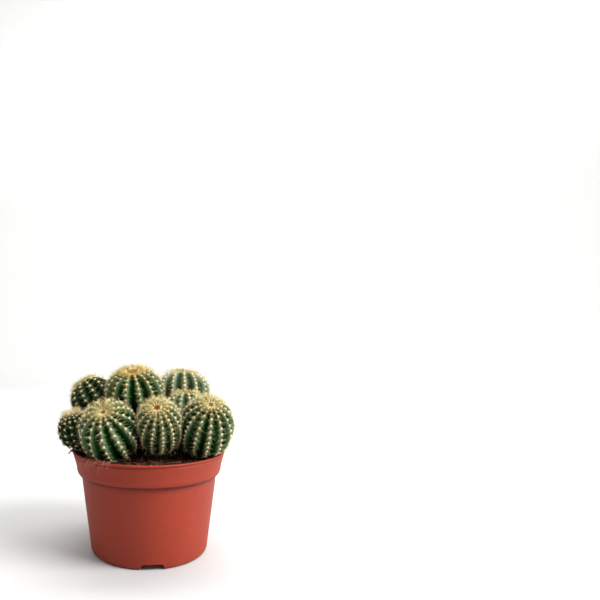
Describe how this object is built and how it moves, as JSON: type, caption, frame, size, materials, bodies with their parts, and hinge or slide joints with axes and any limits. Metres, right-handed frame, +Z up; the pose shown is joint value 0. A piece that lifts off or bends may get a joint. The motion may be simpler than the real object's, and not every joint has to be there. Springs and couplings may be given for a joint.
{
  "type": "potted eriocactus warasii",
  "caption": "Clump of ribbed globe cactus heads with straw-coloured spines and golden woolly crowns, growing in soil in a round plastic nursery pot that stands on its foot ring.",
  "frame": {"origin": "centre of the pot's underside, on its axis and on the plane that it stands on", "axes": "+Z up along the pot's axis; -Y is the front, the side that the picture shows; +X is to the right of that view"},
  "size_m": [0.1417, 0.1292, 0.1458],
  "materials": {
    "pot_plastic": "terracotta-red polypropylene with a fine matt grain and small dark specks",
    "potting_soil": "dark peaty compost with brown fibres and grit, dry",
    "cactus_flesh": "dark green skin with a grey-green bloom, cream areoles and straw-coloured spines",
    "crown_wool": "golden-cream wool and young spines, ochre at the middle"
  },
  "bodies": {
    "root": {"pot": "pot_plastic", "soil": "potting_soil", "head_front_left": "cactus_flesh", "head_front_centre": "cactus_flesh", "head_front_right": "cactus_flesh", "head_far_left": "cactus_flesh", "head_back_left": "cactus_flesh", "head_back_centre": "cactus_flesh", "head_back_right": "cactus_flesh", "head_mid_right": "cactus_flesh", "head_rear_right": "cactus_flesh", "head_rear_left": "cactus_flesh", "crown_front_left": "crown_wool", "crown_front_centre": "crown_wool", "crown_front_right": "crown_wool", "crown_far_left": "crown_wool", "crown_back_left": "crown_wool", "crown_back_centre": "crown_wool", "crown_back_right": "crown_wool", "crown_mid_right": "crown_wool", "crown_rear_right": "crown_wool", "crown_rear_left": "crown_wool"}
  },
  "joints": []
}
